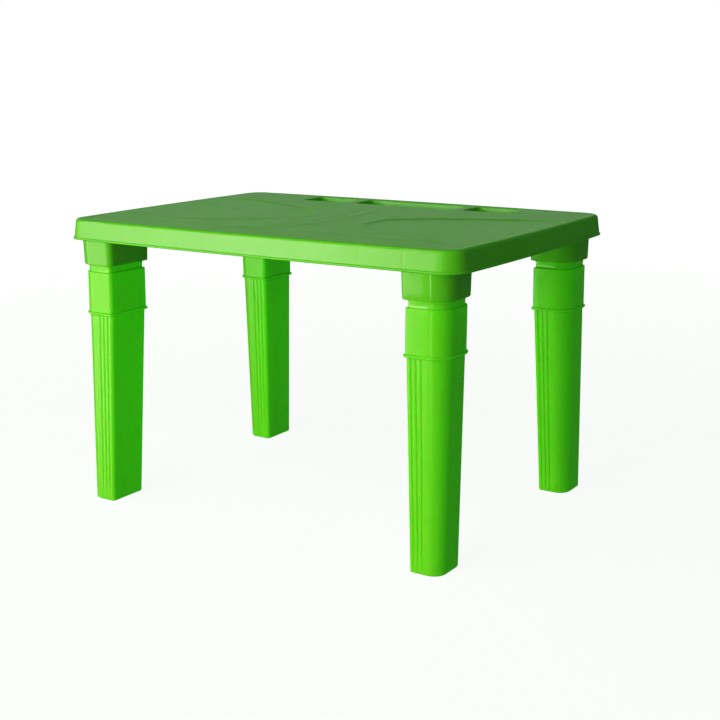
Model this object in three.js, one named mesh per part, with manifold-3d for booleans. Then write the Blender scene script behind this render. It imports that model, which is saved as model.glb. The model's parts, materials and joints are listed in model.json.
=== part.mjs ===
// A child's moulded plastic table: one tabletop with four leg sockets under it,
// four leg extensions that push up into the sockets, and four legs that push up
// into the extensions. Millimetres, +Z up, origin on the ground under the middle.
// +X runs along the long side; the pencil trays lie along the +Y edge.

import * as THREE from 'three';
import { mergeVertices } from 'three/addons/utils/BufferGeometryUtils.js';
import Module from 'manifold-3d';

// ---------------------------------------------------------------- dimensions

const LENGTH = 690;
const DEPTH = 490;
const HEIGHT = 440;
const GAP = 0.3;                 // clearance between touching pieces

// tabletop shell
const CORNER_RADIUS = 32;
const SIDE_BOW = 6;              // how far each long side swells at its middle
const END_BOW = 6;               // the same for the short sides
const PLATE = 3;                 // thickness of the top
const SKIRT_WALL = 2.6;
const SKIRT_HEIGHT = 31;
const SKIRT_DRAFT = 2.8;          // the skirt leans out by this much towards its rim
const BEAD_PROUD = 1.8;
const BEAD_TALL = 3.6;
const TOP_FILLET = 5;

// pencil trays, from their left end to their right end, along the far edge
const TRAYS = [[-182, -98], [-79, 106], [125, 203]];
const TRAY_NEAR = 167;
const TRAY_FAR = 221;
const TRAY_DEPTH = 18;
const TRAY_WALL = 2.5;
const TRAY_DRAFT = 1.5;
const TRAY_CORNER = 6;

// ribs under the plate
const RIB = 2;
const RIB_HEIGHT_X = 9;          // ribs along X are a little lower than the ones along Y
const RIB_HEIGHT_Y = 10;
const RIBS_ALONG_X = [-120, 0, 120];
const RIBS_ALONG_Y = [-222, -122, -22, 82, 190];

// leg sockets, hanging from the plate
const SOCKET_BOTTOM = 371.8;
const SOCKET_PROUD = 7;          // outside of the socket beyond the neck
const SOCKET_WALL = 2.5;
const SOCKET_LIP = 3;
const SOCKET_DRAFT = 1;
const SOCKET_EDGE = 1.6;

// every leg piece has a D-shaped section: flat on the side that faces the middle
// of the table, with large round corners at the outer end
const INNER_CORNER = 5;
const OUTER_ROUND = 0.42;        // outer corner radius, as a part of the section's X size
const COLUMN_X = 287.2;          // middle of the section at the socket
const COLUMN_Y = 191;

// leg extension
const NECK = [55, 74];           // size of the section along X and along Y
const NECK_TIP = [53.4, 72.4];
const NECK_WALL = 3;
const TUBE_TOP = 360.8;
const TUBE_BOTTOM = 295.2;
const TUBE = [60.4, 79.6];
const TUBE_LEAN = 1;             // the tube's middle moves out this far to its foot
const TUBE_EDGE = 1.4;
const RIM_PROUD = 2.3;
const RIM_TALL = 4;
const STOP_RING_PROUD = 0.6;
const STOP_RING_TALL = 3.5;

// leg
const LEG_TOP = [57.6, 75.6];
const LEG_FOOT = [46.8, 66.3];
const LEG_TOP_Y = 192.2;
const LEG_FOOT_X = 291.9;
const LEG_FOOT_Y = 201.9;
const LEG_WALL = 2.2;
const FOOT_EDGE = 3;
const SPIGOT_Y = 191.8;
const SPIGOT = [55.2, 71.4];
const SPIGOT_TIP = [53.6, 70];
const SPIGOT_LENGTH = 50;
const FLUTES_TOP = [9, 16.8, 24.6];   // from the flat inner side
const FLUTES_FOOT = [7.6, 14.3, 21];
const FLUTE_WIDTH = 4.4;
const FLUTE_DEPTH = 1.1;

// ---------------------------------------------------------------- outlines

const PLATE_UNDER = HEIGHT - PLATE;
const RIM_Z = HEIGHT - SKIRT_HEIGHT;

/** Points of a quarter turn round (cx, cy), from angle a0, in equal steps. */
function quarter(cx, cy, radius, a0, steps) {
  const points = [];
  for (let i = 0; i <= steps; i += 1) {
    const a = a0 + (Math.PI / 2) * (i / steps);
    points.push(new THREE.Vector2(cx + radius * Math.cos(a), cy + radius * Math.sin(a)));
  }
  return points;
}

/** The bowed, round-cornered outline of the tabletop, inset by a distance. */
function tableOutline(inset, radiusInset = inset) {
  const a = LENGTH / 2 - inset;
  const b = DEPTH / 2 - inset;
  const r = CORNER_RADIUS - radiusInset;
  const cornerSteps = 6;
  const sideSteps = 6;
  const points = [];
  const corners = [[a - r, b - r], [r - a, b - r], [r - a, r - b], [a - r, r - b]];
  corners.forEach(([cx, cy], k) => {
    const arc = quarter(cx, cy, r, (k * Math.PI) / 2, cornerSteps);
    points.push(...arc);
    const next = corners[(k + 1) % 4];
    const start = arc[cornerSteps];
    const step = new THREE.Vector2(next[0] - cx, next[1] - cy).divideScalar(sideSteps);
    for (let i = 1; i < sideSteps; i += 1) {
      points.push(start.clone().addScaledVector(step, i));
    }
  });
  return points.map((p) => new THREE.Vector2(
    p.x * (1 - (END_BOW / a) * (p.y / b) ** 2),
    p.y * (1 - (SIDE_BOW / b) * (p.x / a) ** 2),
  ));
}

/** A rectangle with four equal round corners. */
function roundRectangle(x0, x1, y0, y1, r, steps = 3) {
  return [
    ...quarter(x1 - r, y1 - r, r, 0, steps),
    ...quarter(x0 + r, y1 - r, r, Math.PI / 2, steps),
    ...quarter(x0 + r, y0 + r, r, Math.PI, steps),
    ...quarter(x1 - r, y0 + r, r, 1.5 * Math.PI, steps),
  ];
}

/** D-shaped section with its flat side at low x, grown outwards by a distance. */
function dOutline(cx, cy, [sizeX, sizeY], grow = 0) {
  const x0 = cx - sizeX / 2 - grow;
  const x1 = cx + sizeX / 2 + grow;
  const y0 = cy - sizeY / 2 - grow;
  const y1 = cy + sizeY / 2 + grow;
  const big = OUTER_ROUND * sizeX + grow;
  const small = INNER_CORNER + Math.min(grow, grow / 2);
  return [
    ...quarter(x1 - big, y1 - big, big, 0, 6),
    ...quarter(x0 + small, y1 - small, small, Math.PI / 2, 3),
    ...quarter(x0 + small, y0 + small, small, Math.PI, 3),
    ...quarter(x1 - big, y0 + big, big, 1.5 * Math.PI, 6),
  ];
}

/** The D-shaped section with three grooves in each flat long side. */
function flutedOutline(cx, cy, size, flutes, depth, grow = 0) {
  const plain = dOutline(cx, cy, size, grow);
  const inner = cx - size[0] / 2;
  const top = cy + size[1] / 2 + grow;
  const bottom = cy - size[1] / 2 - grow;
  const half = FLUTE_WIDTH / 2;
  const groove = (x, y, sign, dir) => [
    new THREE.Vector2(x - dir * half, y),
    new THREE.Vector2(x - dir * half * 0.5, y - sign * depth * 0.75),
    new THREE.Vector2(x, y - sign * depth),
    new THREE.Vector2(x + dir * half * 0.5, y - sign * depth * 0.75),
    new THREE.Vector2(x + dir * half, y),
  ];
  const upper = [...flutes].reverse().flatMap((f) => groove(inner + f, top, 1, -1));
  const lower = flutes.flatMap((f) => groove(inner + f, bottom, -1, 1));
  return [...plain.slice(0, 7), ...upper, ...plain.slice(7, 15), ...lower, ...plain.slice(15)];
}

// ---------------------------------------------------------------- solids

/** Turns outlines at given heights, [[z, outline], ...], into one closed body.
 *  The first and last outlines are capped from their middles, or joined in a ring. */
function loft(levels, ring = false) {
  const count = levels[0][1].length;
  const positions = [];
  const index = [];
  levels.forEach(([z, outline]) => outline.forEach((p) => positions.push(p.x, p.y, z)));
  const last = ring ? levels.length : levels.length - 1;
  for (let k = 0; k < last; k += 1) {
    const low = k * count;
    const high = ((k + 1) % levels.length) * count;
    for (let i = 0; i < count; i += 1) {
      const j = (i + 1) % count;
      index.push(low + i, low + j, high + j, low + i, high + j, high + i);
    }
  }
  if (!ring) {
    const cap = ([z, outline], first, turn) => {
      const middle = new THREE.Vector2();
      outline.forEach((p) => middle.addScaledVector(p, 1 / count));
      positions.push(middle.x, middle.y, z);
      const hub = positions.length / 3 - 1;
      for (let i = 0; i < count; i += 1) {
        const pair = [first + i, first + ((i + 1) % count)];
        index.push(hub, pair[1 - turn], pair[turn]);
      }
    };
    cap(levels[0], 0, 0);
    cap(levels[levels.length - 1], (levels.length - 1) * count, 1);
  }
  const geometry = new THREE.BufferGeometry();
  geometry.setAttribute('position', new THREE.Float32BufferAttribute(positions, 3));
  geometry.setIndex(index);
  return geometry;
}

/** A box between two corners. */
function block(x0, x1, y0, y1, z0, z1) {
  const geometry = new THREE.BoxGeometry(x1 - x0, y1 - y0, z1 - z0);
  geometry.translate((x0 + x1) / 2, (y0 + y1) / 2, (z0 + z1) / 2);
  return geometry;
}

/** Mirrors a body in X, in Y or in both, and keeps its faces pointing out. */
function mirrored(source, signX, signY) {
  const geometry = source.clone();
  geometry.scale(signX, signY, 1);
  if (signX * signY < 0) {
    const index = geometry.getIndex();
    for (let i = 0; i < index.count; i += 3) {
      const a = index.getX(i);
      index.setX(i, index.getX(i + 1));
      index.setX(i + 1, a);
    }
  }
  return geometry;
}

const wasm = await Module();
wasm.setup();

/** A closed geometry as a manifold solid. */
function solid(source) {
  const bare = source.clone();
  bare.deleteAttribute('normal');
  bare.deleteAttribute('uv');
  const merged = mergeVertices(bare, 1e-4);
  return new wasm.Manifold(new wasm.Mesh({
    numProp: 3,
    vertProperties: new Float32Array(merged.getAttribute('position').array),
    triVerts: new Uint32Array(merged.getIndex().array),
  }));
}

/** A manifold solid as a geometry. */
function geometryOf(body) {
  const mesh = body.getMesh();
  const geometry = new THREE.BufferGeometry();
  geometry.setAttribute('position', new THREE.Float32BufferAttribute(mesh.vertProperties, 3));
  geometry.setIndex([...mesh.triVerts]);
  return geometry;
}

// ---------------------------------------------------------------- tabletop

/** Plate, skirt and rim bead as one inverted tray. */
function shell() {
  const out = BEAD_PROUD;                              // skirt face behind the bead
  const top = BEAD_PROUD + SKIRT_DRAFT;
  const f = TOP_FILLET;
  const levels = [
    [PLATE_UNDER, tableOutline(top + SKIRT_WALL)],
    [RIM_Z, tableOutline(out + SKIRT_WALL)],
    [RIM_Z, tableOutline(1)],
    [RIM_Z + 0.9, tableOutline(0)],
    [RIM_Z + BEAD_TALL - 0.9, tableOutline(0)],
    [RIM_Z + BEAD_TALL, tableOutline(out)],
    [HEIGHT - f, tableOutline(top)],
  ];
  for (let i = 1; i <= 3; i += 1) {
    const a = (Math.PI / 2) * (i / 3);
    levels.push([HEIGHT - f + f * Math.sin(a), tableOutline(top + f * (1 - Math.cos(a)))]);
  }
  return loft(levels);
}

/** A tray-shaped block, its sides leaning in towards the floor. */
function trayBlock([x0, x1], grow, top, floor) {
  const at = (lean) => roundRectangle(
    x0 - grow + lean,
    x1 + grow - lean,
    TRAY_NEAR - grow + lean,
    TRAY_FAR + grow - lean,
    TRAY_CORNER + grow - lean,
  );
  return loft([[floor, at(TRAY_DRAFT)], [top, at(0)]]);
}

const neckSection = (grow) => dOutline(COLUMN_X, COLUMN_Y, NECK, grow);
const neckTipSection = (grow) => dOutline(COLUMN_X, COLUMN_Y, NECK_TIP, grow);

/** The outside of one leg socket. */
function socketBlock() {
  const e = SOCKET_EDGE;
  return loft([
    [SOCKET_BOTTOM, neckSection(SOCKET_PROUD - e)],
    [SOCKET_BOTTOM + e * 0.4, neckSection(SOCKET_PROUD - e * 0.4)],
    [SOCKET_BOTTOM + e, neckSection(SOCKET_PROUD)],
    [RIM_Z, neckSection(SOCKET_PROUD + SOCKET_DRAFT)],
    [PLATE_UNDER + 1, neckSection(SOCKET_PROUD + SOCKET_DRAFT)],
  ]);
}

/** The hollow of one leg socket above its lip. */
function socketHollow() {
  const grow = SOCKET_PROUD - SOCKET_WALL;
  return loft([
    [SOCKET_BOTTOM + SOCKET_LIP, neckSection(grow)],
    [PLATE_UNDER, neckSection(grow + SOCKET_DRAFT)],
  ]);
}

/** The space that the extension's neck takes up, with its clearance. */
function neckSpace() {
  return loft([
    [SOCKET_BOTTOM - 1, neckSection(GAP)],
    [PLATE_UNDER, neckTipSection(GAP)],
  ]);
}

/** The four upright fins in a socket that guide the neck. */
function socketFins() {
  const low = SOCKET_BOTTOM + SOCKET_LIP - 0.5;
  const high = PLATE_UNDER + 0.5;
  const reachX = NECK[0] / 2 + SOCKET_PROUD - 1;
  const reachY = NECK[1] / 2 + SOCKET_PROUD - 1;
  const finX = COLUMN_X - 6;
  return [
    block(COLUMN_X - reachX, COLUMN_X + reachX, COLUMN_Y - RIB / 2, COLUMN_Y + RIB / 2, low, high),
    block(finX - RIB / 2, finX + RIB / 2, COLUMN_Y - reachY, COLUMN_Y + reachY, low, high),
  ];
}

/** Ribs under the plate. The ones along Y run into the bowed skirt, and the ones
 *  along X end at the outermost of them, so both ends stay free for fingers. */
function plateRibs() {
  const wallY = DEPTH / 2 - BEAD_PROUD - SKIRT_DRAFT - SKIRT_WALL * 0.75;
  const endY = (x) => wallY - SIDE_BOW * (x / (LENGTH / 2)) ** 2;
  const half = RIB / 2;
  const first = RIBS_ALONG_Y[0];
  const last = RIBS_ALONG_Y[RIBS_ALONG_Y.length - 1];
  const lowX = PLATE_UNDER - RIB_HEIGHT_X;
  const lowY = PLATE_UNDER - RIB_HEIGHT_Y;
  const high = PLATE_UNDER + 0.5;
  return [
    ...RIBS_ALONG_X.map((y) => block(first, last, y - half, y + half, lowX, high)),
    ...RIBS_ALONG_Y.map((x) => block(x - half, x + half, -endY(x), endY(x), lowY, high)),
  ];
}

function tabletop() {
  const quadrants = [[1, 1], [-1, 1], [-1, -1], [1, -1]];
  const atCorners = (geometry) => quadrants.map(([sx, sy]) => mirrored(geometry, sx, sy));
  const plateTop = HEIGHT - 1;
  let body = solid(shell());
  const join = (geometry) => {
    body = body.add(solid(geometry));
  };
  const cut = (geometry) => {
    body = body.subtract(solid(geometry));
  };
  plateRibs().forEach(join);
  TRAYS.forEach((tray) => {
    join(trayBlock(tray, TRAY_WALL, plateTop, HEIGHT - TRAY_DEPTH - TRAY_WALL));
  });
  atCorners(socketBlock()).forEach(join);
  atCorners(socketHollow()).forEach(cut);
  socketFins().flatMap(atCorners).forEach(join);
  atCorners(neckSpace()).forEach(cut);
  TRAYS.forEach((tray) => cut(trayBlock(tray, 0, HEIGHT + 1, HEIGHT - TRAY_DEPTH)));
  return geometryOf(body);
}

// ---------------------------------------------------------------- leg extension

/** A through tube: neck and stop ring above, wider tube and rim below. */
function legExtension() {
  const bottomY = COLUMN_Y + TUBE_LEAN;
  const tubeHigh = (grow) => dOutline(COLUMN_X, COLUMN_Y, TUBE, grow);
  const tubeLow = (grow) => dOutline(COLUMN_X, bottomY, TUBE, grow);
  const mouth = (grow) => dOutline(COLUMN_X, SPIGOT_Y, SPIGOT, GAP + grow);
  const seat = dOutline(COLUMN_X, SPIGOT_Y, SPIGOT_TIP, GAP);
  const seatZ = TUBE_BOTTOM - GAP + SPIGOT_LENGTH + GAP;
  const ringTop = SOCKET_BOTTOM - GAP;
  const ringBottom = ringTop - STOP_RING_TALL;
  const tip = PLATE_UNDER - GAP;
  return loft([
    [TUBE_BOTTOM, mouth(0.6)],
    [TUBE_BOTTOM, tubeLow(RIM_PROUD - 0.9)],
    [TUBE_BOTTOM + 1, tubeLow(RIM_PROUD)],
    [TUBE_BOTTOM + RIM_TALL - 1, tubeLow(RIM_PROUD)],
    [TUBE_BOTTOM + RIM_TALL, tubeLow(0)],
    [TUBE_TOP - TUBE_EDGE, tubeHigh(0)],
    [TUBE_TOP - TUBE_EDGE * 0.3, tubeHigh(-TUBE_EDGE * 0.3)],
    [TUBE_TOP, tubeHigh(-TUBE_EDGE)],
    [TUBE_TOP, neckSection(0)],
    [ringBottom, neckSection(0)],
    [ringBottom, neckSection(STOP_RING_PROUD)],
    [ringTop, neckSection(STOP_RING_PROUD)],
    [ringTop, neckSection(0)],
    [tip - 0.8, neckTipSection(0)],
    [tip, neckTipSection(-0.8)],
    [tip, neckTipSection(-NECK_WALL)],
    [seatZ, neckSection(-NECK_WALL)],
    [seatZ, seat],
    [TUBE_BOTTOM + 1, mouth(0)],
  ], true);
}

// ---------------------------------------------------------------- leg

/** A tapered hollow leg with a closed foot and a spigot open at its top. */
function leg() {
  const shoulder = TUBE_BOTTOM - GAP;
  const tip = shoulder + SPIGOT_LENGTH;
  const e = FOOT_EDGE;
  const foot = (grow, depth) => (
    flutedOutline(LEG_FOOT_X, LEG_FOOT_Y, LEG_FOOT, FLUTES_FOOT, depth, grow)
  );
  const body = (grow, depth) => (
    flutedOutline(COLUMN_X, LEG_TOP_Y, LEG_TOP, FLUTES_TOP, depth, grow)
  );
  const spigot = (size, grow) => (
    flutedOutline(COLUMN_X, SPIGOT_Y, size, FLUTES_TOP, 0, grow)
  );
  return loft([
    [0, foot(-e, 0)],
    [e * 0.3, foot(-e * 0.3, FLUTE_DEPTH * 0.6)],
    [e, foot(0, FLUTE_DEPTH)],
    [shoulder, body(0, FLUTE_DEPTH)],
    [shoulder, spigot(SPIGOT, 0)],
    [tip - 0.8, spigot(SPIGOT_TIP, 0)],
    [tip, spigot(SPIGOT_TIP, -0.8)],
    [tip, spigot(SPIGOT_TIP, -LEG_WALL)],
    [shoulder - e, spigot(SPIGOT, -LEG_WALL)],
    [e, foot(-LEG_WALL - e * 0.4, 0)],
  ]);
}

// ---------------------------------------------------------------- assembly

const plastic = (color, roughness) => new THREE.MeshStandardMaterial({
  color,
  roughness,
  metalness: 0,
});
const satin = plastic(0x3fb21d, 0.42);
const gloss = plastic(0x4cc21c, 0.24);

const table = new THREE.Group();

function addMesh(name, geometry, material) {
  const mesh = new THREE.Mesh(geometry, material);
  mesh.name = name;
  table.add(mesh);
}

addMesh('tabletop', tabletop(), satin);

const CORNERS = {
  front_left: [-1, -1],
  front_right: [1, -1],
  back_left: [-1, 1],
  back_right: [1, 1],
};
const extensionShape = legExtension();
const legShape = leg();
Object.entries(CORNERS).forEach(([corner, [signX, signY]]) => {
  addMesh(`leg_extension_${corner}`, mirrored(extensionShape, signX, signY), gloss);
  addMesh(`leg_${corner}`, mirrored(legShape, signX, signY), gloss);
});

export default table;
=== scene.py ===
"""A child's moulded plastic table: the visual model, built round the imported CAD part.

Shapes are worked out in millimetres and scaled to metres when a mesh is made.
+X runs along the long side, +Y towards the pencil trays, +Z up from the floor.
"""

import json
import math

import bpy
import numpy as np
from mathutils import Matrix, Vector
from mathutils.geometry import delaunay_2d_cdt

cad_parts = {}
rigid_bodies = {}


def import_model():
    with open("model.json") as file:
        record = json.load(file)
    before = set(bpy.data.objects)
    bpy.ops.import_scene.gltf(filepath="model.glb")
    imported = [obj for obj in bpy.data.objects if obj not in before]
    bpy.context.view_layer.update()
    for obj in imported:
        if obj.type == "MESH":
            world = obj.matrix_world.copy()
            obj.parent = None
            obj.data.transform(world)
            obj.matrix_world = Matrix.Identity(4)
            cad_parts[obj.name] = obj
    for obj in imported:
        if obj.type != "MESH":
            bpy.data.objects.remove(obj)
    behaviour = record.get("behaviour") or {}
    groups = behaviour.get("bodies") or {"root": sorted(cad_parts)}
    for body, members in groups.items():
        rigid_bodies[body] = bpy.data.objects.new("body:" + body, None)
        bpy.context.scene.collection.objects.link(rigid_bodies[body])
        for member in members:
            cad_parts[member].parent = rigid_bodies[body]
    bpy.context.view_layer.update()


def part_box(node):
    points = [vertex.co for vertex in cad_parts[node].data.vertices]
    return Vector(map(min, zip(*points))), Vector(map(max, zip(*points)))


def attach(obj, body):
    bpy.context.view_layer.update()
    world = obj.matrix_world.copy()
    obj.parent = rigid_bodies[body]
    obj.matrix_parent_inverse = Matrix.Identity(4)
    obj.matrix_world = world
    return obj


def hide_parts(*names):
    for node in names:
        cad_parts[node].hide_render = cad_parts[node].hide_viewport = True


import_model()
MM = 0.001

# ---------------------------------------------------------------- dimensions, mm

top_low, top_high = (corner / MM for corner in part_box("tabletop"))
tube_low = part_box("leg_extension_back_right")[0] / MM
leg_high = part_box("leg_back_right")[1] / MM

LENGTH = top_high.x - top_low.x
DEPTH = top_high.y - top_low.y
HEIGHT = top_high.z
GAP = 0.3                     # between pieces that touch
STEP = 6                      # spacing of points along straight sides

# tabletop shell
CORNER_RADIUS = 32
CORNER_STEPS = 14
BOW = 6                       # how far each side swells at its middle
PLATE = 3
SKIRT_WALL = 2.6
SKIRT_HEIGHT = 31
SKIRT_DRAFT = 2.8
SKIRT_THINNING = 0.2          # the wall is this much thinner at its top
RIM_BEVEL = 1                 # height of the bevel inside the lower rim
BEAD_PROUD = 1.8
BEAD_TALL = 3.6
BEAD_SHAPE = 0.92             # 1 would make the bead's outside a half circle
BEAD_FADE = 0.5               # height of the corner between bead and skirt
BEAD_START = 2.2              # inset of the rim's lower face from the bead
BEAD_STEP = 0.02              # the skirt starts this far outside its face
TOP_FILLET = 5
INNER_FILLET = 2
RIM_Z = HEIGHT - SKIRT_HEIGHT
PLATE_UNDER = HEIGHT - PLATE

# pencil trays, left end to right end
TRAYS = [(-182, -98), (-79, 106), (125, 203)]
TRAY_NEAR = 167
TRAY_FAR = 221
TRAY_DEPTH = 18
TRAY_WALL = 2.5
TRAY_DRAFT = 1.5
TRAY_CORNER = 6
TRAY_LEAST_CORNER = 0.8       # the floor's corners stay at least this round
TRAY_RIM = 1.3                # rounding of the rim
TRAY_FLOOR_FILLET = 3.5
TRAY_FOOT_EDGE = 1.5          # bevel under the tray's box

# ribs under the plate
RIB = 2
RIB_HEIGHT_X = 9
RIB_HEIGHT_Y = 10
RIB_BITE = 0.5                # how far a rib reaches into the plate
RIB_END = 0.75                # cross ribs stop at this part of the skirt's wall from outside
RIBS_ALONG_X = [-120, 0, 120]
RIBS_ALONG_Y = [-222, -122, -22, 82, 190]

# shallow relief of the top: widths are those of the rounded lines and slopes
LINE_TALL = 0.7
LEAF_TIPS = [(-42, -14, -1, 3), (84, -28, 1, 10)]   # x, y, direction in x, bluntness
LEAF_SPREAD = 9.5             # half width of a leaf, 1 mm from its tip
LEAF_SIDE = 0.75              # turns a distance in y into one square to the outline
LEAF_DEPTH = 1.0
LEAF_SLOPE = (3, 7)           # middle and width of the slope inside the outline
LEAF_LINE = (2, 3.5)          # place outside the outline, and width, of the raised line
LEAF_END = (285, 90)          # leaves fade out round this |x|, over this width
GROOVE_MIDDLE = (5, -10)
GROOVE_BOW = 0.00125          # how quickly the groove curves to -X
GROOVE_DEPTH = 0.6
GROOVE_WIDTH = 7
GROOVE_LINE = 13              # a raised line runs this far beside the groove
GROOVE_NEAR = (-205, 50)      # the groove fades in round this y, over this width
GROOVE_FAR = (118, 60)
BAND_Y = -168                 # a raised band near the front edge
BAND_WIDTH = 12
BAND_ENDS = (35, 250)
BAND_FADE = 30
SINK_DEPTH = 0.15             # sink marks of the plate over sockets and ribs
SINK_WIDTH = 4
SINK_CORNER = 20
SINK_SHORT = 16               # a rib's mark ends this far before the rib
SINK_FADE = 40
EDGE_BAND = (18, 16)          # relief dies out this far from the edge, over this width

# faint sink marks down the skirt where ribs and sockets meet it
SKIRT_SINKS = [-286, -218, -22, 82, 193, 259]
SKIRT_SINK_DEPTH = 0.12
SKIRT_SINK_WIDTH = 1.3
SKIRT_SINK_POINTS = (-4, -2.6, -1.3, 0, 1.3, 2.6, 4)
SKIRT_SINK_CLEAR = 5          # regular points keep this far from a mark

# leg sockets
SOCKET_BOTTOM = 371.8
SOCKET_PROUD = 7
SOCKET_WALL = 2.5
SOCKET_LIP = 3
SOCKET_DRAFT = 1
SOCKET_EDGE = 1.6
SOCKET_CHAMFER = 0.4          # widening of the mouth
SOCKET_CHAMFER_TALL = 0.5

# D-shaped sections of the leg pieces
INNER_CORNER = 5
OUTER_ROUND = 0.42            # radius of the rounded side against the width
COLUMN_X = 287.2
COLUMN_Y = 191

# leg extension
NECK = (55, 74)
NECK_TIP = (53.4, 72.4)
NECK_WALL = 3
NECK_FILLET = 0.5             # small hollow where the neck leaves the tube
NECK_FILLET_MIDDLE = 0.15
TUBE_TOP = 360.8
TUBE_BOTTOM = tube_low.z
TUBE = (60.4, 79.6)
TUBE_LEAN = 1
TUBE_EDGE = 1.4
MOUTH_CHAMFER = 0.6
MOUTH_CHAMFER_TALL = 1
BEAD_RADIUS = 2
BEAD_OUT = 0.3                # the bead's middle stands this far outside the tube
BEAD_GAP = 0.4                # height of the corner between bead and tube
STOP_RING_PROUD = 0.6
STOP_RING_TALL = 3.5
STOP_RING_EDGE = 0.3
STOP_RING_SLOPE = 0.2

# leg
LEG_TOP = (57.6, 75.6)
LEG_FOOT = (46.8, 66.3)
LEG_TOP_Y = 192.2
LEG_FOOT_X = 291.9
LEG_FOOT_Y = 201.9
LEG_WALL = 2.2
FOOT_EDGE = 2
FOOT_THICK = 3
SHOULDER_EDGE = 0.8
SPIGOT_Y = 191.8
SPIGOT = (55.2, 71.4)
SPIGOT_TIP = (53.6, 70)
SPIGOT_TOP = leg_high.z
SPIGOT_ROOT = 3               # solid depth under the shoulder
FLUTES_TOP = (9, 16.8, 24.6)
FLUTES_FOOT = (7.6, 14.3, 21)
FLUTE_WIDTH = 4.4
FLUTE_DEPTH = 1.1
FLUTE_SHAPE = 1.5             # power of the cosine across a flute
FLUTE_FOOT_SHARE = 0.35       # depth left at the foot
FLUTE_FADE = (22, 44)         # flutes grow shallow round this height, over this width
FLUTE_FADE_TOP = 60           # rows of points are closer below this height

TIP_EDGE = (0.8, 0.2)         # softened rim at the top of a neck or spigot
TIP_BREAK = (0.3, 0.8)        # how far each row of that rim is pulled in

CORNERS = {
    "front_left": (-1, -1),
    "front_right": (1, -1),
    "back_left": (-1, 1),
    "back_right": (1, 1),
}

# ---------------------------------------------------------------- looks

TOP_GREEN = (0.205, 0.69, 0.03)
# the same plastic as the top; the legs' lighter green is partly painted glow, standing in for
# light that passes through their thin hollow walls
LEG_GREEN_AND_PAINTED_GLOW = (0.26, 0.86, 0.03)
TOP_ROUGHNESS = 0.33
EXTENSION_ROUGHNESS = 0.17
LEG_ROUGHNESS = 0.24
SOCKET_POLISH = 0.3           # roughness of the sockets against that of the top
TOP_SHINE = 0.7               # specular level; 0.5 is that of bare plastic
PLASTIC_SHINE = 0.5
PLASTIC_IOR = 1.49
SCATTER_RADIUS = (0.25, 1, 0.15)
SCATTER_REACH = 5 * MM
CLOUDS = (9, 4)               # scale and detail of the noise that clouds the colour
CLOUD_SPREAD = 0.03
CLOUD_LIFT = 0.003            # added to every channel where the colour is lightest
NOISE_RANGE = (0.3, 0.7)      # part of the noise that is spread over the full effect
UNEVEN = (38, 5)              # the same for the gloss
UNEVEN_SPREAD = 0.07
GRAIN = (900, 3)
GRAIN_STRENGTH = 0.05
GRAIN_TALL = 0.0002

FLOOR_HALF = 12               # metres, as all of the stage
FLOOR_DROP = 0.0005
FLOOR_GREY = 0.2
DOME_RADIUS = 14
# the floor's own glow: softer near the table, so that shadows show, and white far away
FLOOR_FADE = {"From Min": 0.8, "From Max": 4.0, "To Min": 0.9, "To Max": 1.0}
ROOM_COLOUR = (0.6, 1, 0.6, 1)
ROOM_STRENGTH = 0.18
GLOW_COLOUR = (0.15, 1, 0.1)
GLOW_SIZE = 0.12
TONE_TOE = [(0.04, 0.022), (0.14, 0.105), (0.35, 0.345)]

CAMERA_PLACE = (1.10655, -1.64705, 0.67651)
CAMERA_TURN = (32.94, -13.13, -0.28)   # yaw, pitch and roll in degrees
CAMERA_LENS = 65
CAMERA_SENSOR = 36


# ---------------------------------------------------------------- outlines

def quarter(cx, cy, radius, start, steps):
    """A quarter turn of points round (cx, cy), counterclockwise from an angle."""
    a = start + np.linspace(0, math.pi / 2, steps + 1)
    return np.column_stack([cx + radius * np.cos(a), cy + radius * np.sin(a)])


def between(p, q, steps):
    """The points strictly between two points, evenly spaced."""
    t = np.arange(1, steps)[:, None] / steps
    return np.asarray(p) * (1 - t) + np.asarray(q) * t


def join_arcs(arcs, side, flat):
    """A closed outline of four corner arcs, with points along the sides between them."""
    parts = []
    for k, arc in enumerate(arcs):
        after = arcs[(k + 1) % 4]
        parts += [arc, between(arc[-1], after[0], flat if k % 2 else side)]
    return np.concatenate(parts)


def round_rectangle(x0, x1, y0, y1, r, count_x, count_y, steps=8):
    """A rectangle with equal round corners and split sides."""
    arcs = [
        quarter(x1 - r, y1 - r, r, 0, steps),
        quarter(x0 + r, y1 - r, r, math.pi / 2, steps),
        quarter(x0 + r, y0 + r, r, math.pi, steps),
        quarter(x1 - r, y0 + r, r, 1.5 * math.pi, steps),
    ]
    return join_arcs(arcs, count_x, count_y)


def side_places(half, marks):
    """Places along a side from +half to -half: even steps, made finer round the marks."""
    grid = np.linspace(-half, half, round(2 * half / STEP) + 1)[1:-1]
    close = [m + d for m in marks for d in SKIRT_SINK_POINTS]
    apart = [g for g in grid if all(abs(g - m) > SKIRT_SINK_CLEAR for m in marks)]
    return np.array(sorted(apart + close, reverse=True))


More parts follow.
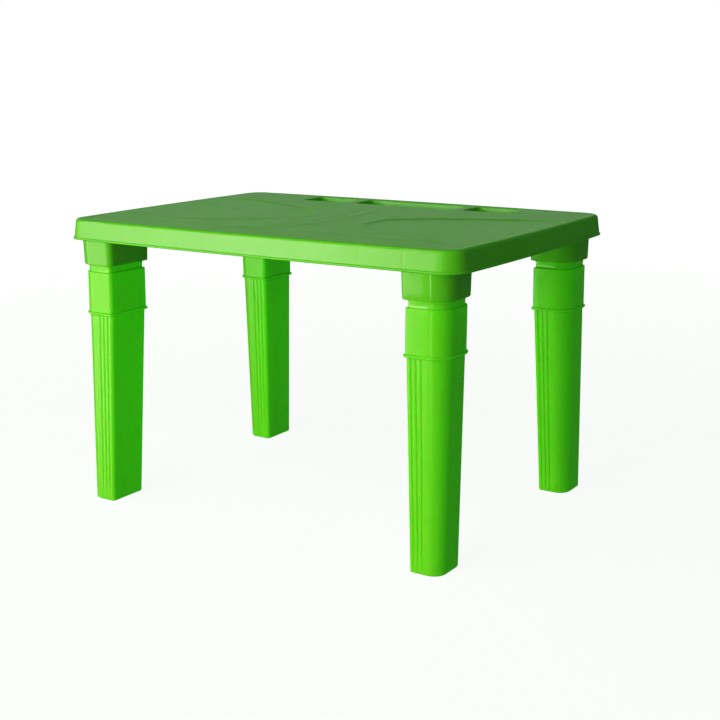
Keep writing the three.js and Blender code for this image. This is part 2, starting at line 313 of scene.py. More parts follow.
def table_outline(inset, marks=(), sink=0.0):
    """The bowed, round-cornered outline of the tabletop, inset by a distance.
    The long sides get finer points at the marks, and a shallow sink if one is given."""
    a = LENGTH / 2 - inset
    b = DEPTH / 2 - inset
    r = CORNER_RADIUS - inset
    xs = side_places(a - r, [m / (1 - BOW / a) for m in marks])
    ys = side_places(b - r, [])
    points = np.concatenate([
        quarter(a - r, b - r, r, 0, CORNER_STEPS),
        np.column_stack([xs, np.full(len(xs), b)]),
        quarter(r - a, b - r, r, math.pi / 2, CORNER_STEPS),
        np.column_stack([np.full(len(ys), -a), ys]),
        quarter(r - a, r - b, r, math.pi, CORNER_STEPS),
        np.column_stack([xs[::-1], np.full(len(xs), -b)]),
        quarter(a - r, r - b, r, 1.5 * math.pi, CORNER_STEPS),
        np.column_stack([np.full(len(ys), a), ys[::-1]]),
    ])
    x, y = points.T
    bowed_x = x * (1 - (BOW / a) * (y / b) ** 2)
    bowed_y = y * (1 - (BOW / b) * (x / a) ** 2)
    for mark in marks:
        dip = sink * np.exp(-(((bowed_x - mark) / SKIRT_SINK_WIDTH) ** 2))
        bowed_y -= np.sign(bowed_y) * dip
    return np.column_stack([bowed_x, bowed_y])


def tray_outline(tray, grow):
    """Outline of a tray, grown outwards."""
    count_x = round((tray[1] - tray[0]) / STEP)
    count_y = round((TRAY_FAR - TRAY_NEAR) / STEP)
    return round_rectangle(
        tray[0] - grow, tray[1] + grow, TRAY_NEAR - grow, TRAY_FAR + grow,
        TRAY_CORNER + grow, count_x, count_y,
    )


def d_section(cx, cy, size, grow=0.0, side=4, flat=4, big_steps=18, small_steps=7):
    """D-shaped section with its flat side at low x, grown outwards by a distance."""
    x0, x1 = cx - size[0] / 2 - grow, cx + size[0] / 2 + grow
    y0, y1 = cy - size[1] / 2 - grow, cy + size[1] / 2 + grow
    big = OUTER_ROUND * size[0] + grow
    small = INNER_CORNER + (grow / 2 if grow > 0 else grow)
    arcs = [
        quarter(x1 - big, y1 - big, big, 0, big_steps),
        quarter(x0 + small, y1 - small, small, math.pi / 2, small_steps),
        quarter(x0 + small, y0 + small, small, math.pi, small_steps),
        quarter(x1 - big, y0 + big, big, 1.5 * math.pi, big_steps),
    ]
    return join_arcs(arcs, side, flat)


def fluted_section(cx, cy, size, flutes, depth, grow=0.0):
    """The D-shaped section with rounded grooves in both long sides."""
    points = d_section(cx, cy, size, grow, side=56)
    along = points[:, 0] - (cx - size[0] / 2)
    half = FLUTE_WIDTH / 2 * size[0] / LEG_TOP[0]
    dip = np.zeros(len(points))
    for place in flutes:
        near = np.abs(along - place) < half
        dip[near] += np.cos((along[near] - place) / half * math.pi / 2) ** FLUTE_SHAPE
    tolerance = 0.02
    edge = size[1] / 2 + grow - tolerance
    on_side = np.abs(points[:, 1] - cy) > edge
    points[on_side, 1] -= np.sign(points[on_side, 1] - cy) * depth * dip[on_side]
    return points


def pull_in(points, distance):
    """A section made narrower and shallower by a distance on every side."""
    middle = (points.min(0) + points.max(0)) / 2
    half = (points.max(0) - points.min(0)) / 2
    return middle + (points - middle) * (half - distance) / half


def inside(points, rim):
    """Which of the points lie inside a closed outline."""
    x, y = np.atleast_2d(points).T[:, :, None]
    x0, y0 = rim.T
    x1, y1 = np.roll(x0, -1), np.roll(y0, -1)
    crosses = (y0 > y) != (y1 > y)
    at = x0 + (y - y0) * (x1 - x0) / np.where(y1 == y0, 1, y1 - y0)
    return np.sum(crosses & (x < at), axis=1) % 2 == 1


def fillet(radius, steps, z, inset, rising=True):
    """(z, inset) pairs that round an edge from the side into the face above or below."""
    pairs = []
    for i in range(1, steps + 1):
        a = math.pi / 2 * i / steps
        rise = radius * math.sin(a)
        pairs.append((z + rise if rising else z - rise, inset + radius * (1 - math.cos(a))))
    return pairs


# ---------------------------------------------------------------- meshes

class Mesh:
    """Vertices and faces collected for one piece, in millimetres."""

    def __init__(self):
        self.points = []
        self.faces = []

    def add(self, points):
        """Adds points and returns their numbers."""
        first = len(self.points)
        self.points += [tuple(p) for p in points]
        return np.arange(first, len(self.points))

    def ring(self, outline, z):
        """Adds an outline at a height and returns its points' numbers."""
        heights = np.full(len(outline), float(z))
        return self.add(np.column_stack([outline, heights]))

    def skin(self, low, high):
        """Quads between two rings that run counterclockwise, facing outwards."""
        low2, high2 = np.roll(low, -1), np.roll(high, -1)
        self.faces += np.column_stack([low, low2, high2, high]).tolist()

    def loft(self, levels, closed_ring=False):
        """Skins outlines at given heights: [(z, outline), ...]. Returns the rings."""
        rings = [self.ring(outline, z) for z, outline in levels]
        for low, high in zip(rings, rings[1:]):
            self.skin(low, high)
        if closed_ring:
            self.skin(rings[-1], rings[0])
        return rings

    def cap(self, ring, up):
        """Closes a ring with a fan from its middle."""
        hub = self.add([np.mean([self.points[i] for i in ring], axis=0)])[0]
        after = np.roll(ring, -1)
        for a, b in zip(ring.tolist(), after.tolist()):
            self.faces.append((hub, a, b) if up else (hub, b, a))

    def flat_region(self, outer, holes, inner_points, up, height):
        """Fills the region between rings with triangles; inner points get height(x, y)."""
        loops = [outer, *holes]
        border = np.concatenate(loops)
        flat = [Vector(self.points[i][:2]) for i in border]
        flat += [Vector(p) for p in inner_points]
        edges = []
        start = 0
        for loop in loops:
            n = len(loop)
            edges += [(start + i, start + (i + 1) % n) for i in range(n)]
            start += n
        out = delaunay_2d_cdt(flat, edges, [], 1, 1e-6)
        verts, tris, origin = out[0], out[2], out[3]

        place = {}
        extra = []
        for i, sources in enumerate(origin):
            on_border = [k for k in sources if k < len(border)]
            if on_border:
                place[i] = border[min(on_border)]
            else:
                extra.append(i)
        xy = np.array([verts[i] for i in extra]).reshape(-1, 2)
        made = self.add(np.column_stack([xy, height(xy[:, 0], xy[:, 1])]) if len(xy) else [])
        place.update(zip(extra, made.tolist()))

        middles = [np.mean([verts[i] for i in tri], axis=0) for tri in tris]
        in_hole = np.zeros(len(tris), bool)
        for hole in holes:
            in_hole |= inside(middles, np.array([self.points[i][:2] for i in hole]))
        for tri, left_out in zip(tris, in_hole):
            if left_out:
                continue
            a, b, c = (np.array(verts[i]) for i in tri)
            ccw = (b - a)[0] * (c - a)[1] - (b - a)[1] * (c - a)[0] > 0
            corners = [int(place[i]) for i in tri]
            self.faces.append(corners if ccw == up else corners[::-1])

    def build(self, name, mirror=(1, 1)):
        """Makes the Blender object, mirrored in X and Y if asked."""
        sx, sy = mirror
        points = np.array(self.points, float) * (sx * MM, sy * MM, MM)
        faces = self.faces if sx * sy > 0 else [f[::-1] for f in self.faces]
        data = bpy.data.meshes.new(name)
        data.from_pydata(points.tolist(), [], faces)
        data.validate()
        data.update()
        made = bpy.data.objects.new(name, data)
        bpy.context.scene.collection.objects.link(made)
        return made


def smooth(made, angle=32.0):
    """Smooth shading with crisp edges where the surface turns sharply."""
    made.data.shade_smooth()
    made.data.set_sharp_from_angle(angle=math.radians(angle))


def unite(target, others):
    """Joins closed bodies to a closed body and removes the helpers."""
    bpy.context.view_layer.objects.active = target
    for other in others:
        modifier = target.modifiers.new("join", "BOOLEAN")
        modifier.operation = "UNION"
        modifier.solver = "MANIFOLD"
        modifier.object = other
        with bpy.context.temp_override(object=target, active_object=target):
            bpy.ops.object.modifier_apply(modifier=modifier.name)
        bpy.data.objects.remove(other)


# ---------------------------------------------------------------- tabletop relief

def soft_step(value, width):
    """0 below -width/2, 1 above +width/2, and a smooth rise between."""
    t = np.clip(value / width + 0.5, 0, 1)
    return t * t * (3 - 2 * t)


def ridge(distance, width):
    """A rounded line: 1 in the middle, falling to 0 on both sides."""
    return np.exp(-((distance / width) ** 2))


def leaf(x, y, tip_x, tip_y, direction, blunt):
    """How far inside a leaf's outline a point lies."""
    along = direction * (x - tip_x)
    half = LEAF_SPREAD * np.sqrt(np.maximum(along, 0) + blunt)
    return np.minimum(along, (half - np.abs(y - tip_y)) * LEAF_SIDE)


def leaves(x, y):
    """Two sunk leaves, each with a raised line round it, that fade towards the ends."""
    left, right = (leaf(x, y, *tip) for tip in LEAF_TIPS)
    deep = np.maximum(left, right)
    sunk = LEAF_DEPTH * soft_step(deep - LEAF_SLOPE[0], LEAF_SLOPE[1])
    line = LINE_TALL * ridge(deep + LEAF_LINE[0], LEAF_LINE[1])
    return (line - sunk) * soft_step(LEAF_END[0] - np.abs(x), LEAF_END[1])


def groove(x, y):
    """A curved groove across the middle, with a raised line beside it."""
    beside = x - (GROOVE_MIDDLE[0] - GROOVE_BOW * (y - GROOVE_MIDDLE[1]) ** 2)
    along = soft_step(y - GROOVE_NEAR[0], GROOVE_NEAR[1])
    along *= soft_step(GROOVE_FAR[0] - y, GROOVE_FAR[1])
    line = LINE_TALL * ridge(beside - GROOVE_LINE, GROOVE_WIDTH)
    return (line - GROOVE_DEPTH * ridge(beside, GROOVE_WIDTH)) * along


def band(x, y):
    """A raised band along the front edge, left out in the middle."""
    side = soft_step(BAND_ENDS[1] - np.abs(x), BAND_FADE)
    side *= soft_step(np.abs(x) - BAND_ENDS[0], BAND_FADE)
    return LINE_TALL * ridge(y - BAND_Y, BAND_WIDTH) * side


def socket_distance(x, y):
    """How far outside the outline of the nearest socket a point lies."""
    reach_x = NECK[0] / 2 + SOCKET_PROUD - SINK_CORNER
    reach_y = NECK[1] / 2 + SOCKET_PROUD - SINK_CORNER
    out_x = np.maximum(np.abs(np.abs(x) - COLUMN_X) - reach_x, 0)
    out_y = np.maximum(np.abs(np.abs(y) - COLUMN_Y) - reach_y, 0)
    return np.hypot(out_x, out_y) - SINK_CORNER


def sinks(x, y):
    """Depth of the sink marks over the sockets' walls and the long ribs."""
    first, last = RIBS_ALONG_Y[0], RIBS_ALONG_Y[-1]
    reach = (last - first) / 2 - SINK_SHORT
    over_ribs = soft_step(reach - np.abs(x - (first + last) / 2), SINK_FADE)
    depth = ridge(socket_distance(x, y), SINK_WIDTH)
    for rib in RIBS_ALONG_X:
        depth += ridge(y - rib, SINK_WIDTH) * over_ribs
    return SINK_DEPTH * depth


def distance_to_edge(x, y):
    """Roughly how far inside the table's outline a point lies."""
    half_x = LENGTH / 2 - BOW * (y / (DEPTH / 2)) ** 2
    half_y = DEPTH / 2 - BOW * (x / (LENGTH / 2)) ** 2
    return np.minimum(half_x - np.abs(x), half_y - np.abs(y))


def relief(x, y):
    """How far the top lies below its highest level."""
    height = leaves(x, y) + groove(x, y) + band(x, y) - sinks(x, y)
    near_rim = soft_step(EDGE_BAND[0] - distance_to_edge(x, y), EDGE_BAND[1])
    return np.maximum(LINE_TALL - height, 0) * (1 - near_rim)


# ---------------------------------------------------------------- tabletop

def skirt_profile():
    """(z, inset) pairs up the outside: rim, bead, leaning skirt and top edge."""
    bead = BEAD_TALL / 2
    foot = RIM_Z + BEAD_TALL + BEAD_FADE
    head = HEIGHT - TOP_FILLET
    profile = [(RIM_Z, BEAD_PROUD + SKIRT_WALL), (RIM_Z, BEAD_START)]
    for i in range(9):
        a = -math.pi / 2 + math.pi * i / 8
        out = bead * (1 - math.cos(a)) * BEAD_SHAPE
        profile.append((RIM_Z + bead + bead * math.sin(a), out))
    profile.append((foot, BEAD_PROUD - BEAD_STEP))
    for i in range(1, 7):
        t = i / 6
        profile.append((foot + (head - foot) * t, BEAD_PROUD + SKIRT_DRAFT * t))
    return profile + fillet(TOP_FILLET, 8, head, BEAD_PROUD + SKIRT_DRAFT)


def skirt(mesh):
    """Outer and inner faces of the skirt; returns the plate's upper and lower rings."""
    def outline(z, inset):
        on_face = RIM_Z + BEAD_TALL < z < HEIGHT - TOP_FILLET + 1
        return table_outline(inset, SKIRT_SINKS, SKIRT_SINK_DEPTH if on_face else 0.0)

    outer = mesh.loft([(z, outline(z, inset)) for z, inset in skirt_profile()])
    under = PLATE_UNDER - INNER_FILLET
    upper_inset = BEAD_PROUD + SKIRT_DRAFT + SKIRT_WALL - SKIRT_THINNING
    wall = [(RIM_Z + RIM_BEVEL, BEAD_PROUD + SKIRT_WALL), (under, upper_inset)]
    wall += fillet(INNER_FILLET, 4, under, upper_inset)
    inner = mesh.loft([(z, table_outline(inset, SKIRT_SINKS)) for z, inset in reversed(wall)])
    mesh.skin(inner[-1], outer[0])
    return outer[-1], inner[0]


def tray_pit(mesh, tray):
    """The inside of a tray, from its rounded rim to its floor; returns its upper ring."""
    low = HEIGHT - TRAY_DEPTH + TRAY_FLOOR_FILLET
    levels = []
    for i in range(6):
        a = math.pi / 2 * i / 5
        drop = LINE_TALL + TRAY_RIM * (1 - math.cos(a))
        levels.append((HEIGHT - drop, tray_outline(tray, TRAY_RIM * (1 - math.sin(a)))))
    levels.append((low, tray_outline(tray, -TRAY_DRAFT)))
    for z, inset in fillet(TRAY_FLOOR_FILLET, 6, low, TRAY_DRAFT, rising=False):
        levels.append((z, tray_outline(tray, -min(inset, TRAY_CORNER - TRAY_LEAST_CORNER))))
    rings = mesh.loft(levels)
    mesh.cap(rings[-1], up=True)
    return rings[0]


def tray_box(mesh, tray):
    """The outside of a tray under the plate; returns its upper ring."""
    bottom = HEIGHT - TRAY_DEPTH - TRAY_WALL
    narrow = TRAY_WALL - TRAY_DRAFT
    rings = mesh.loft([
        (bottom, tray_outline(tray, narrow - TRAY_FOOT_EDGE)),
        (bottom + TRAY_FOOT_EDGE, tray_outline(tray, narrow)),
        (PLATE_UNDER, tray_outline(tray, TRAY_WALL)),
    ])
    mesh.cap(rings[0], up=False)
    return rings[-1]


def grid_points(step, inset, keep_off):
    """A grid over the top, clear of its edge and of the trays."""
    xs, ys = np.meshgrid(
        np.arange(-LENGTH / 2, LENGTH / 2, step), np.arange(-DEPTH / 2, DEPTH / 2, step),
    )
    points = np.column_stack([xs.ravel(), ys.ravel()])
    points = points[inside(points, table_outline(inset + keep_off))]
    for tray in TRAYS:
        points = points[~inside(points, tray_outline(tray, keep_off))]
    return points


def tabletop():
    """Plate, skirt, bead and trays as one closed skin, with relief in the top."""
    mesh = Mesh()
    plate_top, plate_under = skirt(mesh)
    pits = []
    boxes = []
    for tray in TRAYS:
        pits.append(tray_pit(mesh, tray))
        boxes.append(tray_box(mesh, tray))
    points = grid_points(step=4, inset=BEAD_PROUD + SKIRT_DRAFT + TOP_FILLET, keep_off=3)
    mesh.flat_region(plate_top, pits, points, True, lambda x, y: HEIGHT - relief(x, y))
    mesh.flat_region(plate_under, boxes, [], False, lambda x, y: x * 0 + PLATE_UNDER)
    return mesh


def socket():
    """One leg socket: a thick-walled cup open downwards, with a lip round the neck."""
    def neck(grow):
        return d_section(COLUMN_X, COLUMN_Y, NECK, grow)

    mesh = Mesh()
    edge = SOCKET_EDGE
    outer = SOCKET_PROUD + SOCKET_DRAFT
    inner = SOCKET_PROUD - SOCKET_WALL
    into_plate = PLATE_UNDER + 1
    levels = [
        (SOCKET_BOTTOM, neck(GAP + SOCKET_CHAMFER)),
        (SOCKET_BOTTOM, neck(SOCKET_PROUD - edge)),
    ]
    for i in range(1, 6):
        a = math.pi / 2 * i / 5
        levels.append((SOCKET_BOTTOM + edge * (1 - math.cos(a)),
                       neck(SOCKET_PROUD - edge * (1 - math.sin(a)))))
    levels += [
        (RIM_Z, neck(outer)),
        (into_plate, neck(outer)),
        (into_plate, neck(inner + SOCKET_DRAFT)),
        (SOCKET_BOTTOM + SOCKET_LIP, neck(inner)),
        (SOCKET_BOTTOM + SOCKET_LIP, neck(GAP)),
        (SOCKET_BOTTOM + SOCKET_CHAMFER_TALL, neck(GAP)),
    ]
    mesh.loft(levels, closed_ring=True)
    return mesh


def block(x0, x1, y0, y1, z0, z1):
    """A rib: a plain rectangular bar between two corners."""
    mesh = Mesh()
    corners = np.array([(x0, y0), (x1, y0), (x1, y1), (x0, y1)], float)
    low, high = mesh.loft([(z0, corners), (z1, corners)])
    mesh.faces.append(low[::-1].tolist())
    mesh.faces.append(high.tolist())
    return mesh


def plate_ribs():
    """The grid of ribs under the plate; cross ribs stop at the tray row's walls."""
    wall_y = DEPTH / 2 - BEAD_PROUD - SKIRT_DRAFT - SKIRT_WALL * RIB_END
    half = RIB / 2
    high = PLATE_UNDER + RIB_BITE
    low_x = PLATE_UNDER - RIB_HEIGHT_X
    low_y = PLATE_UNDER - RIB_HEIGHT_Y
    made = []
    for y in RIBS_ALONG_X:
        made.append(block(RIBS_ALONG_Y[0], RIBS_ALONG_Y[-1], y - half, y + half, low_x, high))
    for x in RIBS_ALONG_Y:
        end = wall_y - BOW * (x / (LENGTH / 2)) ** 2
        spans = [(-end, end)]
        if any(tray[0] < x < tray[1] for tray in TRAYS):
            spans = [(-end, TRAY_NEAR - TRAY_WALL / 2), (TRAY_FAR + TRAY_WALL / 2, end)]
        for start, stop in spans:
            made.append(block(x - half, x + half, start, stop, low_y, high))
    return made


# ---------------------------------------------------------------- leg pieces

def tip_levels(top, section, wall):
    """Rows of a softened rim round an open tip, and its inner edge."""
    return [
        (top - TIP_EDGE[0], section(0)),
        (top - TIP_EDGE[1], section(-TIP_BREAK[0])),
        (top, section(-TIP_BREAK[1])),
        (top, section(-wall)),
    ]


def tube_levels(tube):
    """Rows up the outside of the wide tube: its bead, lean and rounded upper edge."""
    foot = TUBE_BOTTOM + 2 * BEAD_RADIUS + BEAD_GAP
    head = TUBE_TOP - TUBE_EDGE
    levels = []
    for i in range(11):
        a = -math.pi / 2 + math.pi * i / 10
        levels.append((TUBE_BOTTOM + BEAD_RADIUS * (1 + math.sin(a)),
                       tube(1, BEAD_OUT + BEAD_RADIUS * math.cos(a))))
    levels.append((foot, tube(1, 0)))
    for i in range(1, 5):
        t = i / 4
        levels.append((foot + (head - foot) * t, tube(1 - t, 0)))
    for z, inset in fillet(TUBE_EDGE, 6, head, 0):
        levels.append((z, tube(0, -inset)))
    return levels


def neck_levels(neck):
    """Rows up the outside of the neck: its foot and the stop ring under the socket."""
    top = SOCKET_BOTTOM - GAP
    bottom = top - STOP_RING_TALL
    return [
        (TUBE_TOP, neck(NECK_FILLET)),
        (TUBE_TOP + NECK_FILLET_MIDDLE, neck(NECK_FILLET_MIDDLE)),
        (TUBE_TOP + NECK_FILLET, neck(0)),
        (bottom - STOP_RING_SLOPE, neck(0)),
        (bottom, neck(STOP_RING_PROUD - STOP_RING_SLOPE)),
        (bottom + STOP_RING_EDGE, neck(STOP_RING_PROUD)),
        (top - STOP_RING_EDGE, neck(STOP_RING_PROUD)),
        (top, neck(STOP_RING_PROUD - STOP_RING_EDGE)),
        (top, neck(0)),
    ]


def leg_extension():
    """A through tube: neck and stop ring above, wider tube and bead below."""
    def tube(lean, grow):
        return d_section(COLUMN_X, COLUMN_Y + lean * TUBE_LEAN, TUBE, grow)

    def neck(grow):
        return d_section(COLUMN_X, COLUMN_Y, NECK, grow)

    def tip(grow):
        return d_section(COLUMN_X, COLUMN_Y, NECK_TIP, grow)

    def mouth(grow):
        return d_section(COLUMN_X, SPIGOT_Y, SPIGOT, GAP + grow)

    seat = SPIGOT_TOP + GAP
    levels = [(TUBE_BOTTOM, mouth(MOUTH_CHAMFER))]
    levels += tube_levels(tube)
    levels += neck_levels(neck)
    levels += tip_levels(PLATE_UNDER - GAP, tip, NECK_WALL)
    levels += [
        (seat, neck(-NECK_WALL)),
        (seat, d_section(COLUMN_X, SPIGOT_Y, SPIGOT_TIP, GAP)),
        (TUBE_BOTTOM + MOUTH_CHAMFER_TALL, mouth(0)),
    ]
    mesh = Mesh()
    mesh.loft(levels, closed_ring=True)
    return mesh


def leg_body(z, shoulder, grow=0.0):
    """Fluted section of the leg at a height; its flutes grow shallow towards the foot."""
    t = np.clip(z / shoulder, 0, 1)

    def mix(foot, top):
        return foot + (top - foot) * t

    size = (mix(LEG_FOOT[0], LEG_TOP[0]), mix(LEG_FOOT[1], LEG_TOP[1]))
    flutes = [mix(foot, top) for foot, top in zip(FLUTES_FOOT, FLUTES_TOP)]
    grown = float(soft_step(z - FLUTE_FADE[0], FLUTE_FADE[1]))
    depth = FLUTE_DEPTH * (FLUTE_FOOT_SHARE + (1 - FLUTE_FOOT_SHARE) * grown)
    place = (mix(LEG_FOOT_X, COLUMN_X), mix(LEG_FOOT_Y, LEG_TOP_Y))
    return fluted_section(*place, size, flutes, depth, grow)


def leg():
    """A tapered hollow leg with a closed foot and a spigot open at its top."""
    shoulder = TUBE_BOTTOM - GAP
    straight_top = shoulder - SHOULDER_EDGE

    def body(z, grow=0.0):
        return leg_body(z, shoulder, grow)

    def spigot(size, grow):
        return fluted_section(COLUMN_X, SPIGOT_Y, size, FLUTES_TOP, 0, grow)

    levels = []
    for z, inset in reversed(fillet(FOOT_EDGE, 6, FOOT_EDGE, 0, rising=False)):
        levels.append((z, body(z, -inset)))
    for z in np.linspace(FOOT_EDGE, FLUTE_FADE_TOP, 14):
        levels.append((z, body(z)))
    for z in np.linspace(FLUTE_FADE_TOP, straight_top, 12)[1:]:
        levels.append((z, body(z)))
    for z, inset in fillet(SHOULDER_EDGE, 4, straight_top, 0):
        levels.append((z, body(z, -inset)))
    levels.append((shoulder, spigot(SPIGOT, 0)))
    levels += tip_levels(SPIGOT_TOP, lambda grow: spigot(SPIGOT_TIP, grow), LEG_WALL)
    levels.append((shoulder - SPIGOT_ROOT, spigot(SPIGOT, -LEG_WALL)))
    levels.append((FOOT_THICK, pull_in(body(FOOT_THICK), LEG_WALL + 1)))

    mesh = Mesh()
    rings = mesh.loft(levels)
    mesh.cap(rings[0], up=False)
    mesh.cap(rings[-1], up=True)
    return mesh


# ---------------------------------------------------------------- plastic

class NodeKit:
    """Short ways to add the nodes of one procedural material."""

    def __init__(self, name):
        self.material = bpy.data.materials.new(name)
        self.material.use_nodes = True
        self.tree = self.material.node_tree
        self.shader = self.tree.nodes["Principled BSDF"]
        self.output = self.tree.nodes["Material Output"]

    def add(self, kind):
        return self.tree.nodes.new(kind)

    def link(self, source, target):
        self.tree.links.new(source, target)

    def set(self, node, values):
        """Sets a node's own sockets from {socket name: value}."""
        for socket_name, value in values.items():
            node.inputs[socket_name].default_value = value

    def noise(self, where, scale, detail, stretch=(1, 1, 1)):
        """Noise over the object's own coordinates."""
        mapping = self.add("ShaderNodeMapping")
        texture = self.add("ShaderNodeTexNoise")
        self.set(mapping, {"Scale": stretch})
        self.set(texture, {"Scale": scale, "Detail": detail})
        self.link(where, mapping.inputs["Vector"])
        self.link(mapping.outputs["Vector"], texture.inputs["Vector"])
        return texture.outputs["Fac"]

    def remap(self, value, from_low, from_high, low, high):
        """Maps a range of a value to another, and holds it at the ends."""
        made = self.add("ShaderNodeMapRange")
        self.set(made, {"From Min": from_low, "From Max": from_high})
        self.set(made, {"To Min": low, "To Max": high})
        self.link(value, made.inputs["Value"])
        return made.outputs["Result"]


def plastic(name, colour, roughness, scatter, shine=PLASTIC_SHINE, polished_below=None):
    """Moulded polypropylene: faint clouding of colour, uneven gloss and a fine grain.
    Under the height polished_below, in metres, the surface is glossier."""
    kit = NodeKit(name)
    kit.set(kit.shader, {
        "IOR": PLASTIC_IOR,
        "Specular IOR Level": shine,
        "Subsurface Weight": scatter,
        "Subsurface Radius": SCATTER_RADIUS,
        "Subsurface Scale": SCATTER_REACH,
    })
    where = kit.add("ShaderNodeTexCoord").outputs["Object"]

    clouds = kit.remap(kit.noise(where, *CLOUDS, (1, 1, 0.5)), *NOISE_RANGE, 0, 1)
    mix = kit.add("ShaderNodeMix")
    mix.data_type = "RGBA"
    mix.inputs["A"].default_value = [c * (1 - CLOUD_SPREAD) for c in colour] + [1]
    mix.inputs["B"].default_value = [c * (1 + CLOUD_SPREAD) + CLOUD_LIFT for c in colour] + [1]
    kit.link(clouds, mix.inputs["Factor"])
    kit.link(mix.outputs["Result"], kit.shader.inputs["Base Color"])

    low, high = roughness * (1 - UNEVEN_SPREAD), roughness * (1 + UNEVEN_SPREAD)
    gloss = kit.remap(kit.noise(where, *UNEVEN), *NOISE_RANGE, low, high)
    if polished_below:
        height = kit.add("ShaderNodeSeparateXYZ")
        kit.link(where, height.inputs["Vector"])
        edge = (polished_below - 0.5 * MM, polished_below + 0.5 * MM)
        zone = kit.remap(height.outputs["Z"], *edge, SOCKET_POLISH, 1)
        product = kit.add("ShaderNodeMath")
        product.operation = "MULTIPLY"
        kit.link(gloss, product.inputs[0])
        kit.link(zone, product.inputs[1])
        gloss = product.outputs["Value"]
    kit.link(gloss, kit.shader.inputs["Roughness"])

    bump = kit.add("ShaderNodeBump")
    kit.set(bump, {"Strength": GRAIN_STRENGTH, "Distance": GRAIN_TALL})
    kit.link(kit.noise(where, *GRAIN), bump.inputs["Height"])
    kit.link(bump.outputs["Normal"], kit.shader.inputs["Normal"])
    return kit.material


top_plastic = plastic(
    "top_plastic", TOP_GREEN, TOP_ROUGHNESS, 0.5, TOP_SHINE, polished_below=(RIM_Z - 1) * MM,
)
# the extension and leg pieces take the lighter green, with its painted glow of light passing
# through the plastic
extension_plastic = plastic("extension_plastic", LEG_GREEN_AND_PAINTED_GLOW, EXTENSION_ROUGHNESS, 1)
leg_plastic = plastic("leg_plastic", LEG_GREEN_AND_PAINTED_GLOW, LEG_ROUGHNESS, 1)


# ---------------------------------------------------------------- pieces

def finish_piece(made, node, material):
    """Gives a piece its plastic and lets it stand for its CAD node."""
    made.data.materials.clear()
    made.data.materials.append(material)
    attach(made, node)
    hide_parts(node)


def make_tabletop():
    """The tabletop: its shell joined with four sockets and the ribs."""
    body = tabletop().build("tabletop_moulding")
    helpers = []
    cup = socket()
    for corner, mirror in CORNERS.items():
        helpers.append(cup.build("socket_" + corner, mirror))
    for i, rib in enumerate(plate_ribs()):
        helpers.append(rib.build(f"rib_{i}"))
    unite(body, helpers)
    smooth(body)
    finish_piece(body, "tabletop", top_plastic)


def make_legs():
    """The extension and the leg of each corner, mirrored from one of each."""
    sleeve = leg_extension()
    post = leg()
    for corner, mirror in CORNERS.items():
        upper = sleeve.build("extension_moulding_" + corner, mirror)
        smooth(upper)
        finish_piece(upper, "leg_extension_" + corner, extension_plastic)
        lower = post.build("leg_moulding_" + corner, mirror)
        smooth(lower)
        finish_piece(lower, "leg_" + corner, leg_plastic)


make_tabletop()
make_legs()


# ---------------------------------------------------------------- stage

def hide_from(made, *rays):
    """Hides an object from kinds of rays, such as shadow rays."""
    for ray in rays:
        setattr(made, "visible_" + ray, False)


def floor_material():
    """Matt white that glows a little, so that it stays pale with soft shadows.
    Seen from below it is clear, so that the underside of the table can be looked at."""
    kit = NodeKit("floor")
    kit.set(kit.shader, {
        "Base Color": (FLOOR_GREY, FLOOR_GREY, FLOOR_GREY, 1),
        "Roughness": 1,
        "Specular IOR Level": 0,
        "Emission Color": (1, 1, 1, 1),
    })
    where = kit.add("ShaderNodeTexCoord")
    reach = kit.add("ShaderNodeVectorMath")
    reach.operation = "LENGTH"
    fade = kit.add("ShaderNodeMapRange")
    kit.set(fade, FLOOR_FADE)
    kit.link(where.outputs["Object"], reach.inputs[0])
    kit.link(reach.outputs["Value"], fade.inputs["Value"])
    kit.link(fade.outputs["Result"], kit.shader.inputs["Emission Strength"])

    clear = kit.add("ShaderNodeBsdfTransparent")
    side = kit.add("ShaderNodeNewGeometry")
    mix = kit.add("ShaderNodeMixShader")
    kit.link(side.outputs["Backfacing"], mix.inputs["Fac"])
    kit.link(kit.shader.outputs["BSDF"], mix.inputs[1])
    kit.link(clear.outputs["BSDF"], mix.inputs[2])
    kit.link(mix.outputs["Shader"], kit.output.inputs["Surface"])
    return kit.material


def floor_plane():
    """A wide flat floor just under the feet, facing up."""
    data = bpy.data.meshes.new("floor")
    half = FLOOR_HALF
    corners = [(-half, -half), (half, -half), (half, half), (-half, half)]
    data.from_pydata([(x, y, -FLOOR_DROP) for x, y in corners], [], [(0, 1, 2, 3)])
    made = bpy.data.objects.new("floor", data)
    data.materials.append(floor_material())
    bpy.context.scene.collection.objects.link(made)
    hide_from(made, "diffuse", "glossy", "shadow")


def backdrop():
    """A white dome far outside the floor that only the camera sees."""
    mesh = Mesh()
    radius = DOME_RADIUS / MM
    turn = np.linspace(0, 2 * math.pi, 33)[:-1]
    circle = np.column_stack([np.cos(turn), np.sin(turn)])
    rows = np.radians(np.arange(-85, 85, 14))
    mesh.loft([(radius * math.sin(a), radius * math.cos(a) * circle) for a in rows])
    made = mesh.build("backdrop")

    kit = NodeKit("backdrop")
    white = kit.add("ShaderNodeEmission")
    kit.link(white.outputs["Emission"], kit.output.inputs["Surface"])
    made.data.materials.append(kit.material)
    hide_from(made, "diffuse", "glossy", "transmission", "volume_scatter", "shadow")


def room_light():
    """Even, dim, greenish light from all round, as a room with a green table in it has."""
    world = bpy.data.worlds.new("studio")
    bpy.context.scene.world = world
    world.use_nodes = True
    background = world.node_tree.nodes["Background"]
    background.inputs["Color"].default_value = ROOM_COLOUR
    background.inputs["Strength"].default_value = ROOM_STRENGTH


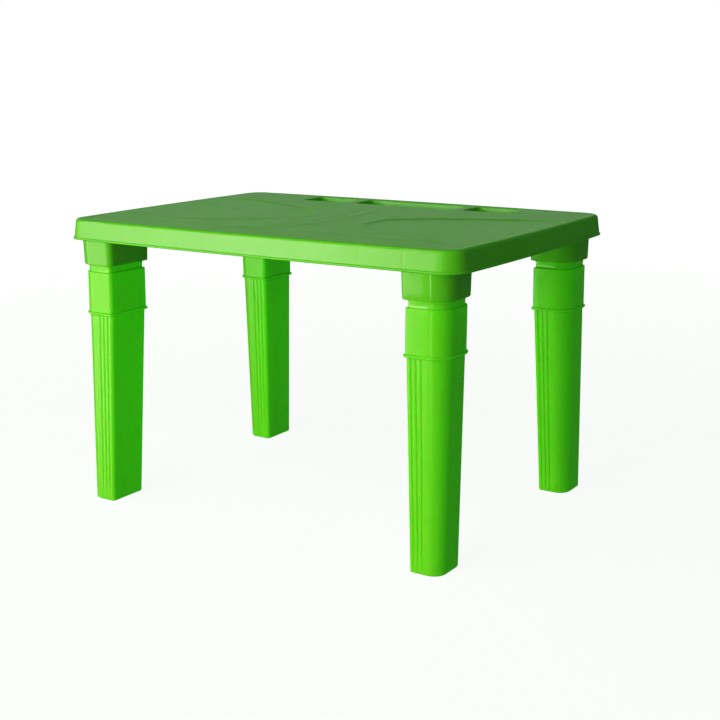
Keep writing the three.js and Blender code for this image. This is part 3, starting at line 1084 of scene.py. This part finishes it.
def area_light(name, place, aim, size, watts, mirrored=True, lit=True):
    """A soft rectangular light; one that isn't mirrored leaves no reflection,
    and one that isn't lit leaves nothing but its reflection."""
    light = bpy.data.lights.new(name, "AREA")
    light.shape = "RECTANGLE"
    light.size, light.size_y = size
    light.energy = watts
    made = bpy.data.objects.new(name, light)
    made.location = place
    made.rotation_euler = (Vector(aim) - Vector(place)).to_track_quat("-Z", "Y").to_euler()
    made.visible_glossy = mirrored
    made.visible_diffuse = lit
    bpy.context.scene.collection.objects.link(made)


def through_plastic(name, place, watts):
    """Green light that the hollow, translucent legs pass on to their shaded sides."""
    legs = bpy.data.collections.new(name)
    for piece in bpy.data.objects:
        if piece.name.startswith(("leg_moulding", "extension_moulding")):
            legs.objects.link(piece)
    light = bpy.data.lights.new(name, "POINT")
    light.energy = watts
    light.color = GLOW_COLOUR
    light.shadow_soft_size = GLOW_SIZE
    made = bpy.data.objects.new(name, light)
    made.location = place
    made.visible_glossy = False
    made.light_linking.receiver_collection = legs
    bpy.context.scene.collection.objects.link(made)


def lights():
    """Softboxes at the left and front, a little light from above and behind."""
    middle = (0, 0, 0.3)
    area_light("key", (-2.38, -2.165, 0.45), middle, (2.8, 2.4), 37)
    area_light("sheen", (-1.72, -2.9, 0.75), (0, 0, 0.4), (1.4, 0.9), 15, lit=False)
    area_light("front", (-0.15, -3.4, 0.5), middle, (2.6, 2.2), 50, mirrored=False)
    area_light("strip", (0.05, -3.2, 0.4), (0.2, 0, 0.3), (0.35, 2.2), 6)
    area_light("above", (-0.3, -1.7, 2.3), (0, 0, 0.4), (1.4, 0.6), 6)
    area_light("back", (-2.2, 3.0, 1.1), middle, (4.0, 1.5), 6)
    through_plastic("glow_right", (2.6, 0.3, 0.3), 28)
    through_plastic("glow_under", (0, 0, 0.18), 1)


def camera():
    """Three-quarter view from the front right, a little above the table."""
    data = bpy.data.cameras.new("camera")
    data.lens = CAMERA_LENS
    data.sensor_width = CAMERA_SENSOR
    made = bpy.data.objects.new("camera", data)
    yaw, pitch, roll = (math.radians(a) for a in CAMERA_TURN)
    forward = Vector((
        -math.sin(yaw) * math.cos(pitch), math.cos(yaw) * math.cos(pitch), math.sin(pitch),
    ))
    level = forward.to_track_quat("-Z", "Y").to_matrix()
    turn = Matrix.Rotation(-roll, 3, forward)
    made.matrix_world = Matrix.Translation(CAMERA_PLACE) @ (turn @ level).to_4x4()
    bpy.context.scene.collection.objects.link(made)
    bpy.context.scene.camera = made


def tone():
    """Plain view transform with a gentle toe, as a product photograph has."""
    view = bpy.context.scene.view_settings
    view.view_transform = "Standard"
    view.use_curve_mapping = True
    curve = view.curve_mapping.curves[3]
    for x, y in TONE_TOE:
        curve.points.new(x, y)
    view.curve_mapping.update()


floor_plane()
backdrop()
room_light()
lights()
camera()
tone()
